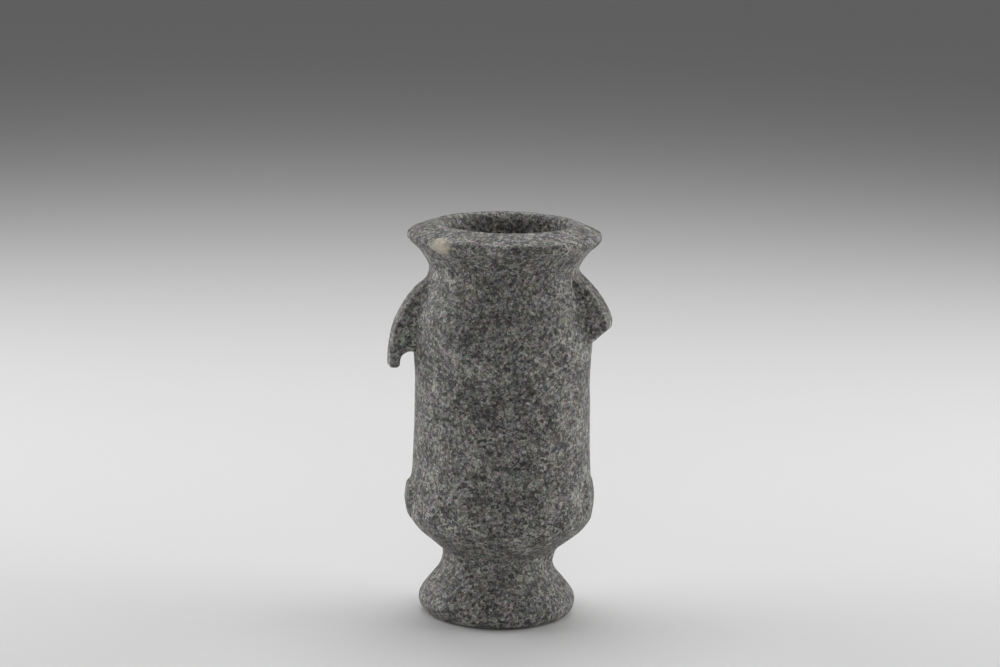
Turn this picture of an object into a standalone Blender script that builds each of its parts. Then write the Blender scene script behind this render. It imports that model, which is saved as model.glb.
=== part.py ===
"""A small granite vase: a turned body on a spreading foot, with two broken strap handles.

One carved piece of stone. Metres, +Z up, the origin at the centre of the flat underside.
The handles stand at the sides, both turned a little towards the front, which is -Y.
"""

import math

import bmesh
import bpy
from mathutils import Matrix, Vector

# Overall height, from the underside to the crown of the rim
HEIGHT = 0.200

# Rim: a cone that falls outwards from the mouth to a thin rounded lip
LIP_RADIUS = 0.0485
LIP_DROP = 0.0068
LIP_ROUND = 0.0022
CROWN_RADIUS = 0.0352
MOUTH_RADIUS = 0.0308
MOUTH_DEPTH = 0.0045

# Hollow: a drilled bore, a little narrower at its rounded floor
BORE_TOP_RADIUS = 0.0303
BORE_TOP_HEIGHT = 0.1840
BORE_FLOOR_RADIUS = 0.0275
FLOOR_HEIGHT = 0.0560
FLOOR_ROUND = 0.0120

# Outer profile from the lip down to the waist, as radius and height
LIP_UNDERSIDE = (0.0424, 0.1864)
NECK = (0.0374, 0.1772)
SHOULDER_TOP = (0.0405, 0.1658)
SHOULDER = (0.0451, 0.1500)
BODY_MIDDLE = (0.0440, 0.1180)
BODY_LOWER = (0.0447, 0.0790)
BELLY = (0.0467, 0.0560)
BELLY_TURN = (0.0436, 0.0466)
UNDERSIDE = (0.0334, 0.0376)
WAIST_CORNER = (0.0278, 0.0332)

# Foot, from the waist down to the rounded edge that meets the ground
WAIST = (0.0277, 0.0280)
FOOT_NECK = (0.0298, 0.0220)
FOOT_SPREAD = (0.0352, 0.0152)
FOOT_EDGE_TOP = (0.0390, 0.0102)
FOOT_EDGE = (0.0396, 0.0068)
FOOT_EDGE_LOW = (0.0382, 0.0032)
BASE_RADIUS = 0.0342

# Handles: flat straps that spring from the shoulder, broken off below
STRAP_WIDTH = 0.0140
STRAP_THICKNESS = 0.0055
STRAP_EDGE_ROUND = 0.0010
STRAP_BURIED_RADIUS = 0.0350
SPRING_PULL = 0.0175
DROP_PULL = 0.0205

LEFT_AZIMUTH = math.radians(180 + 9)
LEFT_SPRING = (0.0376, 0.1722)
LEFT_SPRING_SLOPE = math.radians(-38)
LEFT_END = (0.0574, 0.1276)
LEFT_SLOT_TOP = 0.1358
LEFT_SLOT_HALF_WIDTH = 0.0057
LEFT_SLOT_ARCH = 0.0043
LEFT_BREAK_RISE = 0.0004

RIGHT_AZIMUTH = math.radians(-15)
RIGHT_SPRING = (0.0370, 0.1772)
RIGHT_SPRING_SLOPE = math.radians(-42)
RIGHT_END = (0.0572, 0.1380)
RIGHT_BREAK_SHARE = 0.69
RIGHT_BREAK = ((0.0549, 0.1499), (0.0530, 0.1484), (0.0482, 0.1437), (0.0450, 0.1416))

# Lower roots, the stubs where the straps met the belly again
ROOT_BURIED_RADIUS = 0.0400
LEFT_ROOT = ((0.0446, 0.0690), (0.0465, 0.0677), (0.0474, 0.0630), (0.0475, 0.0570), (0.0462, 0.0505))
RIGHT_ROOT = ((0.0448, 0.0760), (0.0472, 0.0710), (0.0481, 0.0650), (0.0480, 0.0580), (0.0466, 0.0505))

# How finely the round shapes are cut
TURN_STEPS = 72
ARC_STEPS = 4
SPAN_STEPS = 3
STRAP_STEPS = 9
MERGE = 0.00002

STONE_COLOR = (0.16, 0.155, 0.145, 1.0)
STONE_ROUGHNESS = 0.62


def clear_scene():
    """Remove every object that the file starts with."""
    for old in list(bpy.data.objects):
        bpy.data.objects.remove(old, do_unlink=True)


def new_collection(name):
    """Return a new collection in the scene."""
    collection = bpy.data.collections.new(name)
    bpy.context.scene.collection.children.link(collection)
    return collection


def arc(center, radii, start, end, steps):
    """Points on an elliptical arc from one angle to another, both ends included."""
    turn = (end - start) / steps
    return [
        (
            center[0] + radii[0] * math.cos(start + turn * i),
            center[1] + radii[1] * math.sin(start + turn * i),
        )
        for i in range(steps + 1)
    ]


def smooth_through(knots, steps):
    """Points on a Catmull-Rom curve through the knots, both ends included."""
    vectors = [Vector(knot) for knot in knots]
    ends = [2 * vectors[0] - vectors[1], *vectors, 2 * vectors[-1] - vectors[-2]]
    points = []
    for before, a, b, after in zip(ends, ends[1:], ends[2:], ends[3:]):
        for i in range(steps):
            t = i / steps
            point = a + 0.5 * t * (
                (b - before)
                + t * (2 * before - 5 * a + 4 * b - after)
                + t * t * (3 * a - before - 3 * b + after)
            )
            points.append(tuple(point))
    points.append(tuple(vectors[-1]))
    return points


def bezier(start, start_pull, end_pull, end, steps, share=1.0):
    """Points on a cubic curve, from its start to a share of its length."""
    points = []
    for i in range(steps + 1):
        t = share * i / steps
        s = 1 - t
        weights = (s**3, 3 * s * s * t, 3 * s * t * t, t**3)
        corners = (start, start_pull, end_pull, end)
        points.append(tuple(sum(w * c[k] for w, c in zip(weights, corners)) for k in (0, 1)))
    return points


def hollow_profile():
    """The bore, from the middle of its floor up to the edge of the mouth."""
    floor = arc(
        (BORE_FLOOR_RADIUS - FLOOR_ROUND, FLOOR_HEIGHT + FLOOR_ROUND),
        (FLOOR_ROUND, FLOOR_ROUND),
        -math.pi / 2,
        0,
        ARC_STEPS,
    )
    mouth = arc(
        (CROWN_RADIUS, HEIGHT - MOUTH_DEPTH),
        (CROWN_RADIUS - MOUTH_RADIUS, MOUTH_DEPTH),
        math.pi,
        math.pi / 2,
        ARC_STEPS,
    )
    return [(0.0, FLOOR_HEIGHT), *floor, (BORE_TOP_RADIUS, BORE_TOP_HEIGHT), *mouth]


def lip_profile():
    """The rounded edge of the lip, from its top bevel to its underside."""
    center = (LIP_RADIUS - LIP_ROUND, HEIGHT - LIP_DROP)
    return arc(center, (LIP_ROUND, LIP_ROUND), math.radians(70), math.radians(-50), ARC_STEPS)


def outer_profile():
    """The outside of the vase under the lip, down to the middle of the underside."""
    body = (
        LIP_UNDERSIDE,
        NECK,
        SHOULDER_TOP,
        SHOULDER,
        BODY_MIDDLE,
        BODY_LOWER,
        BELLY,
        BELLY_TURN,
        UNDERSIDE,
        WAIST_CORNER,
    )
    foot = (
        WAIST_CORNER,
        WAIST,
        FOOT_NECK,
        FOOT_SPREAD,
        FOOT_EDGE_TOP,
        FOOT_EDGE,
        FOOT_EDGE_LOW,
        (BASE_RADIUS, 0.0),
    )
    return smooth_through(body, SPAN_STEPS)[:-1] + smooth_through(foot, SPAN_STEPS - 1) + [(0.0, 0.0)]


def turned_body(collection):
    """The vase without its handles: one closed profile turned around +Z."""
    profile = hollow_profile() + lip_profile() + outer_profile()
    mesh = bpy.data.meshes.new("turned_body")
    points = [(radius, 0.0, height) for radius, height in profile]
    mesh.from_pydata(points, [(i, i + 1) for i in range(len(points) - 1)], [])
    body = bpy.data.objects.new("turned_body", mesh)
    collection.objects.link(body)
    turn = body.modifiers.new("turn", "SCREW")
    turn.axis = "Z"
    turn.angle = math.tau
    turn.steps = TURN_STEPS
    turn.render_steps = TURN_STEPS
    turn.use_merge_vertices = True
    turn.merge_threshold = MERGE
    turn.use_smooth_shade = True
    return body


def strap_line(spring, slope, end, share=1.0):
    """The outer line of a strap: out from the shoulder at a slope, then straight down."""
    pull = (spring[0] + SPRING_PULL * math.cos(slope), spring[1] + SPRING_PULL * math.sin(slope))
    return bezier(spring, pull, (end[0], end[1] + DROP_PULL), end, STRAP_STEPS, share)


def left_strap_outline():
    """Outline of the longer stump: the strap, and the head of the slot behind it."""
    outer = strap_line(LEFT_SPRING, LEFT_SPRING_SLOPE, LEFT_END)
    inner_radius = LEFT_END[0] - STRAP_THICKNESS
    slot = arc(
        (inner_radius - LEFT_SLOT_HALF_WIDTH, LEFT_SLOT_TOP - LEFT_SLOT_ARCH),
        (LEFT_SLOT_HALF_WIDTH, LEFT_SLOT_ARCH),
        0,
        math.pi / 2,
        ARC_STEPS,
    )
    return [
        (STRAP_BURIED_RADIUS, LEFT_SPRING[1]),
        *outer,
        (inner_radius, LEFT_END[1] + LEFT_BREAK_RISE),
        *slot,
        (STRAP_BURIED_RADIUS, LEFT_SLOT_TOP),
    ]


def right_strap_outline():
    """Outline of the shorter stump, which broke off on a slant down to the body."""
    outer = strap_line(RIGHT_SPRING, RIGHT_SPRING_SLOPE, RIGHT_END, RIGHT_BREAK_SHARE)
    return [
        (STRAP_BURIED_RADIUS, RIGHT_SPRING[1]),
        *outer,
        *RIGHT_BREAK,
        (STRAP_BURIED_RADIUS, RIGHT_BREAK[-1][1]),
    ]


def root_outline(knots):
    """Outline of a lower root: a low swelling with both its ends in the stone."""
    return [
        (ROOT_BURIED_RADIUS, knots[0][1]),
        *smooth_through(knots, SPAN_STEPS),
        (ROOT_BURIED_RADIUS, knots[-1][1]),
    ]


def radial_slab(name, outline, azimuth, collection):
    """A rounded slab of the strap's width, standing upright in one radial plane."""
    curve = bpy.data.curves.new(name, "CURVE")
    curve.dimensions = "2D"
    curve.fill_mode = "BOTH"
    curve.extrude = STRAP_WIDTH / 2 - STRAP_EDGE_ROUND
    curve.bevel_depth = STRAP_EDGE_ROUND
    curve.bevel_resolution = 1
    curve.offset = -STRAP_EDGE_ROUND
    line = curve.splines.new("POLY")
    line.points.add(len(outline) - 1)
    for point, (radius, height) in zip(line.points, outline):
        point.co = (radius, height, 0.0, 1.0)
    line.use_cyclic_u = True
    flat = bpy.data.objects.new(name + "_outline", curve)
    flat.matrix_world = Matrix.Rotation(azimuth, 4, "Z") @ Matrix.Rotation(math.pi / 2, 4, "X")
    collection.objects.link(flat)
    bpy.context.view_layer.update()
    slab = meshed(flat, name, collection)
    slab.matrix_world = flat.matrix_world
    bpy.data.objects.remove(flat, do_unlink=True)
    return slab


def meshed(source, name, collection):
    """A new object that holds the evaluated mesh of another, with its caps welded."""
    graph = bpy.context.evaluated_depsgraph_get()
    mesh = bpy.data.meshes.new_from_object(source.evaluated_get(graph))
    mesh.name = name
    shape = bmesh.new()
    shape.from_mesh(mesh)
    bmesh.ops.remove_doubles(shape, verts=shape.verts, dist=MERGE)
    bmesh.ops.recalc_face_normals(shape, faces=shape.faces)
    shape.to_mesh(mesh)
    shape.free()
    result = bpy.data.objects.new(name, mesh)
    collection.objects.link(result)
    return result


def join_to(body, piece):
    """Add a Boolean that carves body and piece as one stone."""
    union = body.modifiers.new(piece.name, "BOOLEAN")
    union.operation = "UNION"
    union.solver = "EXACT"
    union.object = piece
    piece.hide_render = True
    piece.display_type = "WIRE"


def granite():
    """The stone: grey, speckled in life, with a dull hand-rubbed surface."""
    material = bpy.data.materials.new("granite")
    material.use_nodes = True
    shader = material.node_tree.nodes["Principled BSDF"]
    shader.inputs["Base Color"].default_value = STONE_COLOR
    shader.inputs["Roughness"].default_value = STONE_ROUGHNESS
    shader.inputs["Metallic"].default_value = 0.0
    return material


def build():
    """Make the vase."""
    clear_scene()
    parts = new_collection("granite_vase")
    helpers = new_collection("helpers")
    body = turned_body(helpers)
    body.hide_render = True
    body.display_type = "WIRE"
    slabs = (
        ("left_strap", left_strap_outline(), LEFT_AZIMUTH),
        ("right_strap", right_strap_outline(), RIGHT_AZIMUTH),
        ("left_root", root_outline(LEFT_ROOT), LEFT_AZIMUTH),
        ("right_root", root_outline(RIGHT_ROOT), RIGHT_AZIMUTH),
    )
    for name, outline, azimuth in slabs:
        join_to(body, radial_slab(name, outline, azimuth, helpers))
    bpy.context.view_layer.update()
    vase = meshed(body, "vase", parts)
    vase.data.materials.clear()
    vase.data.materials.append(granite())
    vase.data.shade_smooth()
    vase.data.set_sharp_from_angle(angle=math.radians(35))


build()
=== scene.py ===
"""A small granite vase with two broken strap handles, carved, worn and dressed for rendering.

Every size in a table is in millimetres, with +Z up and the front of the vase towards -Y.
"""

import logging
import math
from collections.abc import Sequence
from dataclasses import dataclass, field
from enum import Enum
from typing import Any

import bmesh
import bpy
import numpy as np
from mathutils import Matrix, Vector, noise


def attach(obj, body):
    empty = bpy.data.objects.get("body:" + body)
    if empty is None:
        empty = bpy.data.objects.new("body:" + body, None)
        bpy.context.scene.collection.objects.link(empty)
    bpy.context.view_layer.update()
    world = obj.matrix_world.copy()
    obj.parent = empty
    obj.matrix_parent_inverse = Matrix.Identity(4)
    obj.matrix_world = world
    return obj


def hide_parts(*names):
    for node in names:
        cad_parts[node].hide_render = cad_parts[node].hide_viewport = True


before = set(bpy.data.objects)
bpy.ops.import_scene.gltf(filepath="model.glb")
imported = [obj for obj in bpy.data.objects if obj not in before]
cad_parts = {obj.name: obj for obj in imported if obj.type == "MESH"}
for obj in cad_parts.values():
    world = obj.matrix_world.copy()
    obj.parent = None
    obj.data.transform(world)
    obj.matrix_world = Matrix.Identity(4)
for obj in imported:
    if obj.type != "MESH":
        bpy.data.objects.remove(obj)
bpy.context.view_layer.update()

MM = 0.001
Point = tuple[float, float]
Place = tuple[float, float, float]
Color = tuple[float, float, float]

log = logging.getLogger("granite_vase")


# ---- Curves that the profile and the handles are drawn with


def arc(center: Point, radii: Point, start: float, end: float, steps: int) -> list[Point]:
    """Draw an elliptical arc, both ends included.

    Args:
        center: The middle of the ellipse.
        radii: Its two half axes.
        start: The first angle, in degrees.
        end: The last angle, in degrees.
        steps: The number of spans.

    Returns:
        The points in order.
    """
    angles = np.radians(np.linspace(start, end, steps + 1))
    return [(center[0] + radii[0] * math.cos(a), center[1] + radii[1] * math.sin(a)) for a in angles]


def smooth_through(knots: Sequence[Point], steps: int) -> list[Point]:
    """Draw a Catmull-Rom curve through the knots.

    Args:
        knots: The points that the curve passes through.
        steps: The number of spans between two knots.

    Returns:
        The points in order, both ends included.
    """
    first = (2 * knots[0][0] - knots[1][0], 2 * knots[0][1] - knots[1][1])
    last = (2 * knots[-1][0] - knots[-2][0], 2 * knots[-1][1] - knots[-2][1])
    ends = np.array([first, *knots, last])
    points: list[Point] = []
    for before, a, b, after in zip(ends, ends[1:], ends[2:], ends[3:]):
        for t in np.arange(steps) / steps:
            bend = (b - before) + t * (2 * before - 5 * a + 4 * b - after)
            point = a + 0.5 * t * (bend + t * t * (3 * a - before - 3 * b + after))
            points.append((float(point[0]), float(point[1])))
    return [*points, knots[-1]]


def strap_curve(start: Point, slope: float, end: Point, pulls: Point, steps: int, share: float) -> list[Point]:
    """Draw the back of a strap: out of the shoulder at a slope, then straight down.

    Args:
        start: Where it leaves the shoulder.
        slope: Its first direction, in degrees from the level.
        end: Where the whole strap would hang straight.
        pulls: How far each end of the curve keeps its direction.
        steps: The number of spans.
        share: The part of the curve that is still there.

    Returns:
        The points in order.
    """
    turn = math.radians(slope)
    corners = np.array(
        [
            start,
            (start[0] + pulls[0] * math.cos(turn), start[1] + pulls[0] * math.sin(turn)),
            (end[0], end[1] + pulls[1]),
            end,
        ]
    )
    points: list[Point] = []
    for t in share * np.arange(steps + 1) / steps:
        s = 1 - t
        x, y = np.array([s**3, 3 * s * s * t, 3 * s * t * t, t**3]) @ corners
        points.append((float(x), float(y)))
    return points


# ---- Node trees


class Wiring:
    """Adds nodes to a tree and wires them, so that a recipe reads from top to bottom."""

    def __init__(self, tree: bpy.types.NodeTree) -> None:
        """Work on this tree."""
        self.tree = tree

    def feed(self, socket: bpy.types.NodeSocket, value: Any) -> None:
        """Link another node's output to a socket, or set the socket's own value."""
        if isinstance(value, bpy.types.NodeSocket):
            self.tree.links.new(value, socket)
        else:
            socket.default_value = value

    def node(self, kind: str, inputs: dict[str | int, Any] | None = None, **settings: Any) -> bpy.types.Node:
        """Add a node.

        Args:
            kind: Blender's name for the kind of node.
            inputs: What goes into its sockets, by name or place.
            settings: Its properties.

        Returns:
            The new node.
        """
        made = self.tree.nodes.new(kind)
        for name, value in settings.items():
            setattr(made, name, value)
        for key, value in (inputs or {}).items():
            self.feed(made.inputs[key], value)
        return made

    def math(self, operation: str, *values: Any, clamp: bool = False) -> bpy.types.NodeSocket:
        """Work out one number from others."""
        return self.node("ShaderNodeMath", dict(enumerate(values)), operation=operation, use_clamp=clamp).outputs[0]

    def vector(self, operation: str, *values: Any) -> bpy.types.NodeSocket:
        """Work out one vector from others."""
        return self.node("ShaderNodeVectorMath", dict(enumerate(values)), operation=operation).outputs[0]

    def scaled(self, vector: Any, factor: Any) -> bpy.types.NodeSocket:
        """Multiply a vector by a number."""
        return self.node("ShaderNodeVectorMath", {0: vector, "Scale": factor}, operation="SCALE").outputs[0]

    def parts(self, vector: Any) -> bpy.types.bpy_prop_collection:
        """Take a vector or colour apart into its three numbers."""
        return self.node("ShaderNodeSeparateXYZ", {0: vector}).outputs

    def length(self, vector: Any) -> bpy.types.NodeSocket:
        """Measure a vector."""
        return self.node("ShaderNodeVectorMath", {0: vector}, operation="LENGTH").outputs["Value"]

    def spread(self, value: Any, start: Any, end: Any, low: Any = 0.0, high: Any = 1.0) -> bpy.types.NodeSocket:
        """Ease a value from one range to another, and hold it at both ends."""
        inputs = {"Value": value, 1: start, 2: end, 3: low, 4: high}
        return self.node("ShaderNodeMapRange", inputs, interpolation_type="SMOOTHSTEP").outputs[0]

    def noise(self, vector: Any, size: Any, detail: float = 2.0, seed: Any = 0.0, rough: float = 0.5) -> bpy.types.Node:
        """Add a cloud noise whose lumps are about as large as size."""
        scale = self.math("DIVIDE", 1.0, size)
        inputs = {"Vector": vector, "W": seed, "Scale": scale, "Detail": detail, "Roughness": rough}
        return self.node("ShaderNodeTexNoise", inputs, noise_dimensions="4D")

    def cells(self, vector: Any, size: Any, feature: str = "F1") -> bpy.types.Node:
        """Add a pattern of random cells about as large as size."""
        scale = self.math("DIVIDE", 1.0, size)
        return self.node("ShaderNodeTexVoronoi", {"Vector": vector, "Scale": scale}, feature=feature)

    def blend(self, factor: Any, a: Any, b: Any, how: str = "MIX") -> bpy.types.NodeSocket:
        """Mix two colours."""
        inputs = {0: factor, 6: a, 7: b}
        made = self.node("ShaderNodeMix", inputs, data_type="RGBA", blend_type=how, clamp_factor=True)
        return made.outputs[2]

    def ramp(self, value: Any, stops: Sequence[tuple[float, Color]]) -> bpy.types.NodeSocket:
        """Turn a value into the colours of a ramp.

        Args:
            value: The value, from 0 to 1.
            stops: Each colour and its place on the ramp.

        Returns:
            The colour.
        """
        made = self.node("ShaderNodeValToRGB", {0: value})
        elements = made.color_ramp.elements
        while len(elements) < len(stops):
            elements.new(1.0)
        for element, (place, color) in zip(elements, stops):
            element.position = place
            element.color = (*color, 1.0)
        return made.outputs[0]


def new_group(name: str, kind: str, takes: dict[str, str], gives: dict[str, str]) -> tuple[Wiring, Any, Any]:
    """Start a node group with named sockets.

    Args:
        name: The group's name.
        kind: ShaderNodeTree or GeometryNodeTree.
        takes: Each input and its kind of socket.
        gives: Each output and its kind of socket.

    Returns:
        The wiring, the outputs of the group's input node and the inputs of its output node.
    """
    tree = bpy.data.node_groups.new(name, kind)
    for label, socket in takes.items():
        tree.interface.new_socket(label, in_out="INPUT", socket_type=socket)
    for label, socket in gives.items():
        tree.interface.new_socket(label, in_out="OUTPUT", socket_type=socket)
    wiring = Wiring(tree)
    return wiring, wiring.node("NodeGroupInput").outputs, wiring.node("NodeGroupOutput").inputs


def set_inputs(modifier: bpy.types.Modifier, values: dict[str, Any]) -> None:
    """Set a geometry tree's inputs, each found by its name and set by its identifier."""
    for item in modifier.node_group.interface.items_tree:
        if item.item_type == "SOCKET" and item.in_out == "INPUT" and item.name in values:
            modifier[item.identifier] = values[item.name]


# ---- Meshes


def new_object(name: str, mesh: bpy.types.Mesh | bpy.types.Curve) -> bpy.types.Object:
    """Make an object of a mesh or curve and link it to the scene."""
    made = bpy.data.objects.new(name, mesh)
    bpy.context.scene.collection.objects.link(made)
    return made


def settled(source: bpy.types.Object, name: str) -> bpy.types.Mesh:
    """Turn an object and its modifiers into one plain mesh, and remove the object.

    Args:
        source: The object, with its modifiers still on it.
        name: The new mesh's name.

    Returns:
        The mesh, with its place in its points.
    """
    bpy.context.view_layer.update()
    graph = bpy.context.evaluated_depsgraph_get()
    mesh = bpy.data.meshes.new_from_object(source.evaluated_get(graph))
    mesh.transform(source.matrix_world)
    mesh.name = name
    bpy.data.objects.remove(source, do_unlink=True)
    return mesh


def points_of(mesh: bpy.types.Mesh) -> np.ndarray:
    """Read a mesh's points, in metres."""
    flat = np.empty(len(mesh.vertices) * 3)
    mesh.vertices.foreach_get("co", flat)
    return flat.reshape(-1, 3)


# ---- The parts of the stone


@dataclass
class TurnedStone:
    """The body without its handles: one profile turned round the axis, a little out of true."""

    height: float = 200.0
    lip_radius: float = 48.6
    lip_drop: float = 6.8
    lip_round: float = 2.3
    crown_radius: float = 35.4
    mouth_radius: float = 30.6
    mouth_depth: float = 4.6
    bore: tuple[Point, ...] = ((30.2, 184.0), (29.2, 130.0), (27.6, 68.0))
    floor_height: float = 56.0
    floor_round: float = 12.0
    body: tuple[Point, ...] = (
        (42.4, 186.4),
        (37.4, 177.2),
        (40.5, 165.8),
        (45.1, 150.0),
        (44.0, 118.0),
        (44.7, 79.0),
        (46.7, 56.0),
        (43.6, 46.6),
        (33.4, 37.6),
        (28.0, 33.4),
    )
    foot: tuple[Point, ...] = (
        (28.0, 33.4),
        (27.7, 28.0),
        (29.8, 22.0),
        (35.2, 15.2),
        (39.0, 10.2),
        (39.6, 6.8),
        (38.4, 3.2),
        (36.4, 0.8),
        (33.6, 0.0),
    )
    outer_sway: tuple[Point, ...] = ((0, 0.0), (16, -0.5), (26, -0.4), (40, 0.4), (60, 0.9), (90, 0.8), (140, 0.2), (200, 0.0))
    inner_sway: tuple[Point, ...] = ((50, 0.2), (150, 0.6), (184, 1.4), (196, 1.7), (200, 0.5))
    rows: int = 440
    columns: int = 400

    def profile(self) -> list[Place]:
        """Draw the closed profile, from the middle of the bore's floor over the rim to the middle of the base.

        Returns:
            Each point's radius, sideways shift and height.
        """
        floor_middle = (self.bore[-1][0] - self.floor_round, self.floor_height + self.floor_round)
        inside = [(0.0, self.floor_height), *arc(floor_middle, (self.floor_round,) * 2, -90, 0, 8)]
        inside += self.bore[-2::-1]
        crown = (self.crown_radius, self.height - self.mouth_depth)
        inside += arc(crown, (self.crown_radius - self.mouth_radius, self.mouth_depth), 180, 90, 10)
        lip = (self.lip_radius - self.lip_round, self.height - self.lip_drop)
        outside = arc(lip, (self.lip_round,) * 2, 70, -50, 10)
        outside += smooth_through(self.body, 8)[:-1] + smooth_through(self.foot, 8) + [(0.0, 0.0)]
        return [
            (radius, float(np.interp(height, *zip(*sway))), height)
            for line, sway in ((inside, self.inner_sway), (outside, self.outer_sway))
            for radius, height in line
        ]

    def tree(self) -> bpy.types.NodeTree:
        """Build the tree that turns a profile line round the axis.

        Returns:
            The tree, with inputs for how finely it turns.
        """
        takes = {"Geometry": "NodeSocketGeometry", "Rows": "NodeSocketInt", "Columns": "NodeSocketInt", "Weld": "NodeSocketFloat"}
        wires, given, result = new_group("turn_on_axis", "GeometryNodeTree", takes, {"Geometry": "NodeSocketGeometry"})
        curve = wires.node("GeometryNodeMeshToCurve", {"Mesh": given["Geometry"]}).outputs[0]
        sheet = wires.node(
            "GeometryNodeMeshGrid",
            {"Size X": 1.0, "Size Y": 1.0, "Vertices X": given["Rows"], "Vertices Y": given["Columns"]},
        )
        spot = wires.parts(wires.node("GeometryNodeInputPosition").outputs[0])
        along = wires.math("ADD", spot[0], 0.5, clamp=True)
        angle = wires.math("MULTIPLY", wires.math("ADD", spot[1], 0.5), math.tau)
        sample = wires.node("GeometryNodeSampleCurve", {"Curves": curve, "Factor": along}, use_all_curves=True)
        line = wires.parts(sample.outputs["Position"])
        across = wires.math("MULTIPLY_ADD", line[0], wires.math("COSINE", angle), line[1])
        deep = wires.math("MULTIPLY", line[0], wires.math("SINE", angle))
        place = wires.node("ShaderNodeCombineXYZ", {0: across, 1: deep, 2: line[2]}).outputs[0]
        turned = wires.node("GeometryNodeSetPosition", {"Geometry": sheet.outputs[0], "Position": place}).outputs[0]
        welded = wires.node("GeometryNodeMergeByDistance", {"Geometry": turned, "Distance": given["Weld"]}).outputs[0]
        wires.feed(result[0], wires.node("GeometryNodeRealizeInstances", {"Geometry": welded}).outputs[0])
        return wires.tree

    def build(self) -> bpy.types.Mesh:
        """Turn the profile and close its seam and poles.

        Returns:
            The closed mesh.
        """
        line = bpy.data.meshes.new("profile")
        points = [tuple(MM * value for value in point) for point in self.profile()]
        line.from_pydata(points, [(i, i + 1) for i in range(len(points) - 1)], [])
        body = new_object("turned_stone", line)
        turn = body.modifiers.new("turn", "NODES")
        turn.node_group = self.tree()
        set_inputs(turn, {"Rows": self.rows, "Columns": self.columns + 1, "Weld": 0.02 * MM})
        return settled(body, "turned_stone")


@dataclass
class RadialSlab:
    """A slab of stone that stands upright in one radial plane, rounded along its edges."""

    name: str
    azimuth: float
    outline: list[Point] = field(default_factory=list)
    width: float = 14.0
    edge_round: float = 1.4

    def build(self) -> bpy.types.Mesh:
        """Fill the outline, give it its width and turn it to its place.

        Returns:
            The closed mesh.
        """
        curve = bpy.data.curves.new(self.name, "CURVE")
        curve.dimensions = "2D"
        curve.fill_mode = "BOTH"
        curve.extrude = MM * (self.width / 2 - self.edge_round)
        curve.bevel_depth = MM * self.edge_round
        curve.bevel_resolution = 3
        curve.offset = -MM * self.edge_round
        line = curve.splines.new("POLY")
        line.points.add(len(self.outline) - 1)
        for point, (radius, height) in zip(line.points, self.outline):
            point.co = (MM * radius, MM * height, 0.0, 1.0)
        line.use_cyclic_u = True
        slab = new_object(self.name, curve)
        turn = Matrix.Rotation(math.radians(self.azimuth), 4, "Z")
        slab.matrix_world = turn @ Matrix.Rotation(math.pi / 2, 4, "X")
        mesh = settled(slab, self.name)
        shape = bmesh.new()
        shape.from_mesh(mesh)
        bmesh.ops.remove_doubles(shape, verts=shape.verts, dist=0.02 * MM)
        bmesh.ops.recalc_face_normals(shape, faces=shape.faces)
        shape.to_mesh(mesh)
        shape.free()
        return mesh


@dataclass
class LeftStump(RadialSlab):
    """The longer stump: the strap down to a level break, and the round head of the slot behind it."""

    name: str = "left_stump"
    azimuth: float = 189.0
    spring: Point = (37.6, 172.2)
    spring_slope: float = -38.0
    pulls: Point = (17.5, 20.5)
    end: Point = (57.4, 127.6)
    thickness: float = 5.5
    slot_top: float = 135.8
    slot_half_width: float = 5.7
    slot_arch: float = 4.3
    buried: float = 35.0

    def __post_init__(self) -> None:
        """Draw the outline."""
        back = strap_curve(self.spring, self.spring_slope, self.end, self.pulls, 24, 1.0)
        inner = self.end[0] - self.thickness
        middle = (inner - self.slot_half_width, self.slot_top - self.slot_arch)
        slot = arc(middle, (self.slot_half_width, self.slot_arch), 0, 90, 8)
        ends = [(self.buried, self.slot_top), (self.buried, self.spring[1])]
        self.outline = [*back, (inner + 1.6, self.end[1] - 0.3), (inner, self.end[1] + 0.5), *slot, *ends]


@dataclass
class RightStump(RadialSlab):
    """The shorter stump, broken on a slant down to the body."""

    name: str = "right_stump"
    azimuth: float = -15.0
    spring: Point = (37.0, 177.2)
    spring_slope: float = -42.0
    pulls: Point = (17.5, 20.5)
    whole_end: Point = (57.2, 138.0)
    share: float = 0.69
    broken: tuple[Point, ...] = ((54.9, 149.9), (53.0, 148.2), (50.6, 146.4), (48.2, 143.9), (45.0, 141.6))
    buried: float = 35.0

    def __post_init__(self) -> None:
        """Draw the outline."""
        back = strap_curve(self.spring, self.spring_slope, self.whole_end, self.pulls, 20, self.share)
        ends = [(self.buried, self.broken[-1][1]), (self.buried, self.spring[1])]
        self.outline = [*back, *self.broken, *ends]


@dataclass
class LowerRoot(RadialSlab):
    """The low stub where a strap met the belly again."""

    knots: tuple[Point, ...] = ()
    buried: float = 40.0

    def __post_init__(self) -> None:
        """Draw the outline."""
        first, last = self.knots[0], self.knots[-1]
        self.outline = [*smooth_through(self.knots, 5), (self.buried, last[1]), (self.buried, first[1])]


@dataclass(frozen=True)
class Dent:
    """A place where the surface is pushed, softly out to its reach."""

    center: Place
    reach: Place
    push: Place

    def shape(self, points: np.ndarray) -> None:
        """Push the points near the centre, all in millimetres."""
        distance = np.linalg.norm((points - self.center) / self.reach, axis=1)
        near = distance < 1
        share = (1 - distance[near] ** 2) ** 2
        points[near] += share[:, None] * np.array(self.push)


@dataclass(frozen=True)
class Chip:
    """A flake off an edge: what stands beyond a plane near the centre is brought back to it."""

    center: Place
    outward: Place
    reach: float
    rough: float = 0.25

    def shape(self, points: np.ndarray) -> None:
        """Flatten the points beyond the plane, all in millimetres."""
        normal = Vector(self.outward).normalized()
        offset = points - self.center
        beyond = offset @ np.array(normal)
        near = (np.linalg.norm(offset, axis=1) < self.reach) & (beyond > 0)
        for index in np.flatnonzero(near):
            grain = noise.noise(Vector(points[index]) * 0.9) * self.rough
            points[index] -= (beyond[index] + grain) * np.array(normal)


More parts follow.
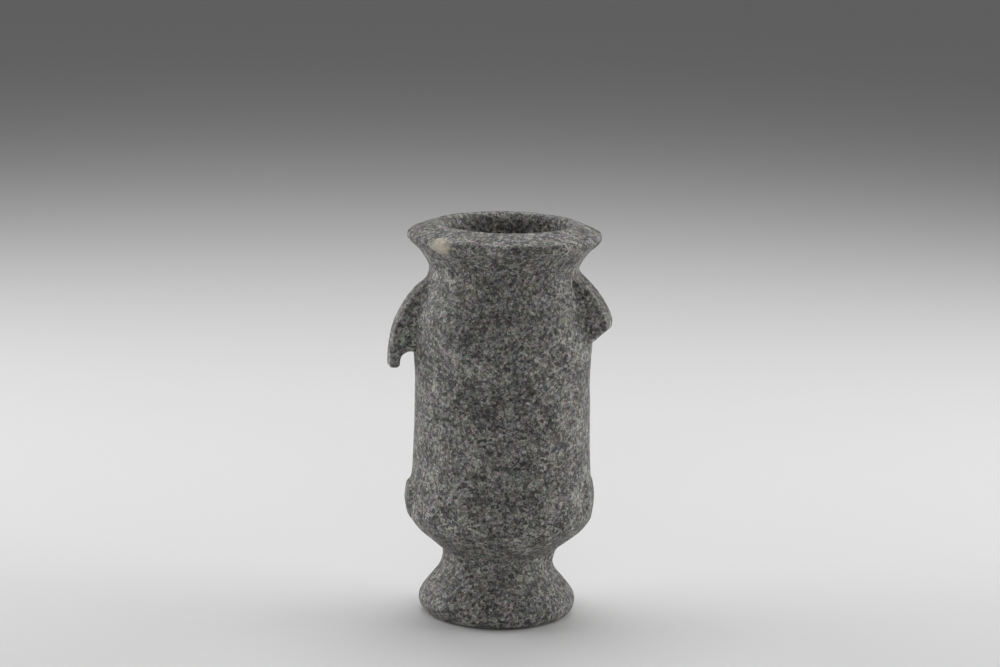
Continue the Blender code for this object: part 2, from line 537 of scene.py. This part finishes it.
@dataclass(frozen=True)
class RoughBreak:
    """A broken face, torn along the grain of the stone."""

    center: Place
    reach: float
    depth: float

    def shape(self, points: np.ndarray) -> None:
        """Move the points near the break by a coarse and a fine noise, all in millimetres."""
        distance = np.linalg.norm(points - self.center, axis=1)
        for index in np.flatnonzero(distance < self.reach):
            share = min(1.0, 2.0 * (1 - distance[index] / self.reach))
            spot = Vector(points[index])
            coarse = noise.noise_vector(spot * 0.45) + 0.5 * noise.noise_vector(spot * 1.1)
            points[index] += share * self.depth * np.array(coarse)


@dataclass
class Weathering:
    """The relief that carving, use and time left all over the stone."""

    voxel: float = 0.92
    smoothing: int = 3
    wave_size: float = 26.0
    wave_depth: float = 0.55
    ripple_size: float = 7.0
    ripple_depth: float = 0.22
    grain_size: float = 1.9
    grain_depth: float = 0.10
    pit_size: float = 3.4
    pit_depth: float = 0.30
    seed: float = 3.0
    most_triangles: int = 190000

    def tree(self) -> bpy.types.NodeTree:
        """Build the tree that wears a closed stone.

        Returns:
            The tree, with inputs for each size and depth of the relief.
        """
        sizes = ("Wave Size", "Wave Depth", "Ripple Size", "Ripple Depth", "Grain Size", "Grain Depth", "Pit Size", "Pit Depth")
        takes = {"Geometry": "NodeSocketGeometry", "Smoothing": "NodeSocketInt", "Seed": "NodeSocketFloat"}
        takes |= {label: "NodeSocketFloat" for label in sizes} | {"Material": "NodeSocketMaterial"}
        wires, given, result = new_group("weathering", "GeometryNodeTree", takes, {"Geometry": "NodeSocketGeometry"})
        spot = wires.node("GeometryNodeInputPosition").outputs[0]
        even = wires.node(
            "GeometryNodeBlurAttribute", {"Value": spot, "Iterations": given["Smoothing"]}, data_type="FLOAT_VECTOR"
        )
        smooth = wires.node("GeometryNodeSetPosition", {"Geometry": given["Geometry"], "Position": even.outputs[0]})
        depth: Any = 0.0
        for label, detail in (("Wave", 1.0), ("Ripple", 2.0), ("Grain", 2.0)):
            cloud = wires.noise(spot, given[f"{label} Size"], detail, given["Seed"]).outputs[0]
            level = wires.math("SUBTRACT", cloud, 0.5)
            depth = wires.math("MULTIPLY_ADD", level, wires.math("MULTIPLY", given[f"{label} Depth"], 2.0), depth)
        holes = wires.cells(spot, given["Pit Size"])
        chosen = wires.spread(wires.parts(holes.outputs["Color"])[0], 0.72, 0.9)
        bowl = wires.spread(holes.outputs["Distance"], 0.42, 0.05)
        hollow = wires.math("MULTIPLY", wires.math("MULTIPLY", chosen, bowl), given["Pit Depth"])
        depth = wires.math("SUBTRACT", depth, hollow)
        height = wires.parts(spot)[2]
        depth = wires.math("MULTIPLY", depth, wires.spread(height, 0.2 * MM, 2.5 * MM))
        push = wires.scaled(wires.node("GeometryNodeInputNormal").outputs[0], depth)
        worn = wires.node("GeometryNodeSetPosition", {"Geometry": smooth.outputs[0], "Offset": push}).outputs[0]
        whole = wires.node("GeometryNodeRealizeInstances", {"Geometry": worn}).outputs[0]
        dressed = wires.node("GeometryNodeSetMaterial", {"Geometry": whole, "Material": given["Material"]}).outputs[0]
        wires.feed(result[0], dressed)
        return wires.tree

    def wear(self, mesh: bpy.types.Mesh, material: bpy.types.Material, marks: Sequence[Any]) -> bpy.types.Mesh:
        """Melt the parts of a stone into one skin, carve its marks and wear it all over.

        Args:
            mesh: The joined parts, which may run into each other.
            material: The finish of the stone.
            marks: The dents, chips and breaks.

        Returns:
            The worn mesh.
        """
        stone = new_object("stone", mesh)
        skin = stone.modifiers.new("skin", "REMESH")
        skin.mode = "VOXEL"
        skin.voxel_size = self.voxel * MM
        skin.use_smooth_shade = True
        mesh = settled(stone, "stone")
        points = points_of(mesh) / MM
        for mark in marks:
            mark.shape(points)
        mesh.vertices.foreach_set("co", (points * MM).ravel())
        stone = new_object("stone", mesh)
        worn = stone.modifiers.new("weathering", "NODES")
        worn.node_group = self.tree()
        set_inputs(
            worn,
            {
                "Smoothing": self.smoothing,
                "Seed": self.seed,
                "Wave Size": self.wave_size * MM,
                "Wave Depth": self.wave_depth * MM,
                "Ripple Size": self.ripple_size * MM,
                "Ripple Depth": self.ripple_depth * MM,
                "Grain Size": self.grain_size * MM,
                "Grain Depth": self.grain_depth * MM,
                "Pit Size": self.pit_size * MM,
                "Pit Depth": self.pit_depth * MM,
                "Material": material,
            },
        )
        triangles = 2 * len(mesh.polygons)
        if triangles > self.most_triangles:
            thinner = stone.modifiers.new("thinner", "DECIMATE")
            thinner.ratio = self.most_triangles / triangles
        return settled(stone, "stone")


# ---- Finishes


class Mineral(Enum):
    """The colours that a stain or vein brings, as light reflected, and how much grain shows through it."""

    QUARTZ = ((0.52, 0.47, 0.37), 0.15)
    BLOOM = ((0.40, 0.38, 0.34), 0.45)
    TAN = ((0.40, 0.33, 0.24), 0.35)
    RUST = ((0.36, 0.19, 0.075), 0.4)
    OCHRE = ((0.22, 0.135, 0.055), 0.6)
    SOIL = ((0.060, 0.036, 0.018), 0.7)
    SOOT = ((0.040, 0.038, 0.035), 0.6)
    ROSE = ((0.33, 0.25, 0.24), 0.5)
    MOSS = ((0.13, 0.14, 0.105), 0.7)


@dataclass(frozen=True)
class Patch:
    """One stain or vein, as a soft-edged egg of colour that the surface cuts through."""

    mineral: Mineral
    center: Place
    reach: Place
    strength: float = 1.0
    softness: float = 0.35


def grain_group() -> bpy.types.NodeTree:
    """Build the group that gives granite its mineral grains.

    Returns:
        The group: Tone is the grain from dark to light, Tint its faint colour.
    """
    takes = {"Position": "NodeSocketVector", "Grain": "NodeSocketFloat", "Clump": "NodeSocketFloat"}
    gives = {"Tone": "NodeSocketFloat", "Tint": "NodeSocketColor"}
    wires, given, result = new_group("granite_grain", "ShaderNodeTree", takes, gives)
    grain = given["Grain"]
    bend = wires.noise(given["Position"], wires.math("MULTIPLY", grain, 0.8), 1.0, 1.0).outputs["Color"]
    shift = wires.scaled(wires.vector("SUBTRACT", bend, (0.5, 0.5, 0.5)), wires.math("MULTIPLY", grain, 1.1))
    bent = wires.vector("ADD", given["Position"], shift)
    large = wires.cells(bent, grain).outputs["Color"]
    small = wires.cells(bent, wires.math("MULTIPLY", grain, 0.5)).outputs["Color"]
    fine = wires.noise(given["Position"], wires.math("MULTIPLY", grain, 0.45), 2.0, 5.0).outputs[0]
    clump = wires.noise(given["Position"], given["Clump"], 2.0, 9.0).outputs[0]
    tone: Any = 0.5
    for source, share in ((large, 0.42), (small, 0.30), (fine, 0.75), (clump, 0.55)):
        if source.type == "RGBA":
            source = wires.parts(source)[0]
        tone = wires.math("MULTIPLY_ADD", wires.math("SUBTRACT", source, 0.5), share, tone)
    wires.feed(result["Tone"], wires.math("MAXIMUM", wires.math("MINIMUM", tone, 1.0), 0.0))
    wires.feed(result["Tint"], wires.noise(given["Position"], wires.math("MULTIPLY", grain, 2.2), 3.0, 3.0).outputs["Color"])
    return wires.tree


def ragged_group() -> bpy.types.NodeTree:
    """Build the group that makes positions wander, so that the edges of stains are ragged.

    Returns:
        The group.
    """
    takes = {"Position": "NodeSocketVector", "Size": "NodeSocketFloat", "Amount": "NodeSocketFloat"}
    wires, given, result = new_group("ragged_edge", "ShaderNodeTree", takes, {"Position": "NodeSocketVector"})
    cloud = wires.noise(given["Position"], given["Size"], 3.0, 12.0, 0.6).outputs["Color"]
    shift = wires.scaled(wires.vector("SUBTRACT", cloud, (0.5, 0.5, 0.5)), given["Amount"])
    wires.feed(result[0], wires.vector("ADD", given["Position"], shift))
    return wires.tree


def stain_group() -> bpy.types.NodeTree:
    """Build the group that lays one patch of colour over the stone.

    Returns:
        The group: the grain still shows in the patch by the share that Grain Kept gives.
    """
    takes = {
        "Color": "NodeSocketColor",
        "Tone": "NodeSocketFloat",
        "Position": "NodeSocketVector",
        "Center": "NodeSocketVector",
        "Reach": "NodeSocketVector",
        "Softness": "NodeSocketFloat",
        "Strength": "NodeSocketFloat",
        "Stain": "NodeSocketColor",
        "Grain Kept": "NodeSocketFloat",
    }
    gives = {"Color": "NodeSocketColor", "Mask": "NodeSocketFloat"}
    wires, given, result = new_group("stain_layer", "ShaderNodeTree", takes, gives)
    offset = wires.vector("DIVIDE", wires.vector("SUBTRACT", given["Position"], given["Center"]), given["Reach"])
    distance = wires.length(offset)
    outer = wires.math("ADD", 1.0, given["Softness"])
    inner = wires.math("SUBTRACT", 1.0, given["Softness"])
    mask = wires.math("MULTIPLY", wires.spread(distance, outer, inner), given["Strength"])
    swing = wires.math("MULTIPLY", wires.math("SUBTRACT", given["Tone"], 0.5), given["Grain Kept"])
    shade = wires.math("MAXIMUM", wires.math("MULTIPLY_ADD", swing, 3.2, 1.0), 0.12)
    grained = wires.vector("MULTIPLY", given["Stain"], wires.node("ShaderNodeCombineXYZ", {0: shade, 1: shade, 2: shade}).outputs[0])
    wires.feed(result["Color"], wires.blend(mask, given["Color"], grained))
    wires.feed(result["Mask"], mask)
    return wires.tree


@dataclass(frozen=True)
class GraniteFinish:
    """Speckled grey granite, over which patches of quartz, rust, old soil and other minerals can be laid."""

    name: str = "granite"
    grain: float = 1.5
    clump: float = 9.0
    tones: tuple[tuple[float, Color], ...] = (
        (0.10, (0.020, 0.020, 0.021)),
        (0.30, (0.052, 0.051, 0.050)),
        (0.42, (0.098, 0.096, 0.090)),
        (0.50, (0.150, 0.146, 0.136)),
        (0.60, (0.215, 0.208, 0.192)),
        (0.74, (0.330, 0.320, 0.298)),
        (0.92, (0.520, 0.505, 0.470)),
    )
    tint: float = 0.30
    roughness: float = 0.58
    specular: float = 0.35
    bump: float = 0.12
    patches: tuple[Patch, ...] = ()

    def build(self) -> bpy.types.Material:
        """Make the material.

        Returns:
            The material, with every stain laid over the grain in order.
        """
        material = bpy.data.materials.new(self.name)
        material.use_nodes = True
        wires = Wiring(material.node_tree)
        shader = material.node_tree.nodes["Principled BSDF"]
        spot = wires.node("ShaderNodeTexCoord").outputs["Object"]
        grain = wires.node("ShaderNodeGroup", node_tree=grain_group())
        wires.feed(grain.inputs["Position"], spot)
        wires.feed(grain.inputs["Grain"], self.grain * MM)
        wires.feed(grain.inputs["Clump"], self.clump * MM)
        tone = grain.outputs["Tone"]
        color = wires.ramp(tone, self.tones)
        tinted = wires.blend(self.tint, (0.5, 0.5, 0.5, 1.0), grain.outputs["Tint"])
        color = wires.vector("MULTIPLY", color, wires.scaled(tinted, 2.0))
        ragged = spot
        for size, amount in ((6.0, 5.0), (1.6, 1.6)):
            made = wires.node("ShaderNodeGroup", node_tree=bpy.data.node_groups.get("ragged_edge") or ragged_group())
            wires.feed(made.inputs["Position"], ragged)
            wires.feed(made.inputs["Size"], size * MM)
            wires.feed(made.inputs["Amount"], amount * MM)
            ragged = made.outputs[0]
        layer = stain_group()
        for patch in self.patches:
            stain, kept = patch.mineral.value
            made = wires.node("ShaderNodeGroup", node_tree=layer)
            values = {
                "Color": color,
                "Tone": tone,
                "Position": ragged,
                "Center": tuple(MM * value for value in patch.center),
                "Reach": tuple(MM * value for value in patch.reach),
                "Softness": patch.softness,
                "Strength": patch.strength,
                "Stain": (*stain, 1.0),
                "Grain Kept": kept,
            }
            for label, value in values.items():
                wires.feed(made.inputs[label], value)
            color = made.outputs["Color"]
        relief = wires.node("ShaderNodeBump", {"Height": tone, "Strength": 0.6, "Distance": self.bump * MM})
        wires.feed(shader.inputs["Base Color"], color)
        wires.feed(shader.inputs["Roughness"], self.roughness)
        wires.feed(shader.inputs["Specular IOR Level"], self.specular)
        wires.feed(shader.inputs["Normal"], relief.outputs[0])
        return material


@dataclass(frozen=True)
class PaleFloor:
    """The plain pale floor of the studio."""

    name: str = "pale_floor"
    color: Color = (0.72, 0.72, 0.72)
    roughness: float = 0.7

    def build(self) -> bpy.types.Material:
        """Make the material."""
        material = bpy.data.materials.new(self.name)
        material.use_nodes = True
        shader = material.node_tree.nodes["Principled BSDF"]
        shader.inputs["Base Color"].default_value = (*self.color, 1.0)
        shader.inputs["Roughness"].default_value = self.roughness
        shader.inputs["Specular IOR Level"].default_value = 0.2
        return material


# ---- The vase


@dataclass
class GraniteVase:
    """The whole vase, carved from one piece of granite."""

    body: TurnedStone = field(default_factory=TurnedStone)
    slabs: tuple[RadialSlab, ...] = (
        LeftStump(),
        RightStump(),
        LowerRoot(
            name="left_root",
            azimuth=189.0,
            knots=((44.6, 69.0), (46.5, 67.7), (47.4, 63.0), (47.5, 57.0), (46.2, 50.5)),
        ),
        LowerRoot(
            name="right_root",
            azimuth=-15.0,
            knots=((44.8, 76.0), (47.2, 71.0), (48.1, 65.0), (48.0, 58.0), (46.6, 50.5)),
        ),
    )
    weathering: Weathering = field(default_factory=Weathering)
    marks: tuple[Dent | Chip | RoughBreak, ...] = (
        RoughBreak((-52.5, -8.5, 127.6), 5.0, 0.55),
        RoughBreak((49.0, -13.5, 146.0), 7.0, 0.8),
        Dent((-34.5, -8.0, 20.0), (9.0, 12.0, 9.0), (-1.1, 0.0, 0.3)),
        Dent((28.0, -6.0, 31.5), (6.0, 12.0, 6.0), (1.2, 0.0, -0.4)),
    )

    def joined(self) -> bpy.types.Mesh:
        """Bring the body, the stumps and the roots together in one mesh.

        Returns:
            The mesh, whose parts run into each other.
        """
        shape = bmesh.new()
        shape.from_mesh(self.body.build())
        for slab in self.slabs:
            shape.from_mesh(slab.build())
        mesh = bpy.data.meshes.new("rough_stone")
        shape.to_mesh(mesh)
        shape.free()
        return mesh

    def build(self, finish: GraniteFinish) -> bpy.types.Object:
        """Carve and wear the vase.

        Args:
            finish: The finish of the stone.

        Returns:
            The finished piece.
        """
        material = finish.build()
        mesh = self.weathering.wear(self.joined(), material, self.marks)
        points = points_of(mesh)
        points[:, 2] = np.maximum(points[:, 2], 0.0)
        mesh.vertices.foreach_set("co", points.ravel())
        mesh.materials.clear()
        mesh.materials.append(material)
        mesh.shade_smooth()
        return new_object("granite_vase", mesh)


VASE_PATCHES: tuple[Patch, ...] = (
    Patch(Mineral.QUARTZ, (-31.5, -36.6, 192.8), (5.6, 5.6, 4.4), 0.9, 0.5),
)


# ---- The studio


@dataclass(frozen=True)
class Softbox:
    """A square soft light that looks at the middle of the vase."""

    name: str
    place: Place
    size: float
    power: float
    aim: Place = (0.0, 0.0, 0.1)

    def build(self) -> None:
        """Hang the light, with its place, size and aim in metres."""
        lamp = bpy.data.lights.new(self.name, "AREA")
        lamp.size = self.size
        lamp.energy = self.power
        made = bpy.data.objects.new(self.name, lamp)
        made.location = self.place
        made.rotation_euler = (Vector(self.aim) - Vector(self.place)).to_track_quat("-Z", "Y").to_euler()
        bpy.context.scene.collection.objects.link(made)


@dataclass
class Studio:
    """A plain pale floor, soft lights and the camera where the photographer stood."""

    floor_radius: float = 9.0
    floor_segments: int = 96
    surround: float = 0.15
    lights: tuple[Softbox, ...] = (
        Softbox("left_softbox", (-1.07, 0.24, 0.46), 1.1, 9.6),
        Softbox("right_softbox", (1.07, 0.24, 0.46), 1.1, 9.6),
        Softbox("top_softbox", (0.0, 0.5, 1.2), 0.9, 8.5),
        Softbox("front_softbox", (0.0, -1.6, 0.7), 0.9, 3.5),
    )
    camera_distance: float = 1.499
    camera_aim: Place = (-0.00122, 0.0, 0.1434)
    camera_pitch: float = 11.07
    camera_roll: float = 1.17
    lens: float = 107.86
    film_width: float = 36.0

    def build_floor(self) -> None:
        """Lay the floor."""
        mesh = bpy.data.meshes.new("floor")
        shape = bmesh.new()
        bmesh.ops.create_circle(shape, cap_ends=True, segments=self.floor_segments, radius=self.floor_radius)
        shape.to_mesh(mesh)
        shape.free()
        floor = new_object("floor", mesh)
        floor.data.materials.append(PaleFloor().build())

    def build_lights(self) -> None:
        """Hang the lights and fill the room with a little even light."""
        for light in self.lights:
            light.build()
        world = bpy.data.worlds.new("soft_room")
        world.use_nodes = True
        background = world.node_tree.nodes["Background"]
        background.inputs["Color"].default_value = (1.0, 1.0, 1.0, 1.0)
        background.inputs["Strength"].default_value = self.surround
        bpy.context.scene.world = world

    def build_camera(self) -> None:
        """Set up the camera."""
        data = bpy.data.cameras.new("camera")
        data.sensor_fit = "HORIZONTAL"
        data.sensor_width = self.film_width
        data.lens = self.lens
        data.clip_start = 0.05
        data.clip_end = 60.0
        camera = bpy.data.objects.new("camera", data)
        turn = Matrix.Rotation(math.radians(90 - self.camera_pitch), 4, "X")
        turn @= Matrix.Rotation(math.radians(self.camera_roll), 4, "Z")
        back = turn.to_3x3() @ Vector((0.0, 0.0, self.camera_distance))
        camera.matrix_world = Matrix.Translation(Vector(self.camera_aim) + back) @ turn
        bpy.context.scene.collection.objects.link(camera)
        bpy.context.scene.camera = camera

    def build(self) -> None:
        """Set up the whole studio."""
        self.build_floor()
        self.build_lights()
        self.build_camera()
        bpy.context.scene.view_settings.view_transform = "Standard"


def main() -> None:
    """Build the vase and the studio."""
    logging.basicConfig(level=logging.INFO, format="%(name)s: %(message)s")
    vase = GraniteVase().build(GraniteFinish(patches=VASE_PATCHES))
    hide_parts("vase")
    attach(vase, "root")
    log.info("%s has %d faces", vase.name, len(vase.data.polygons))
    Studio().build()
    log.info("the studio is ready")


if __name__ == "__main__":
    main()
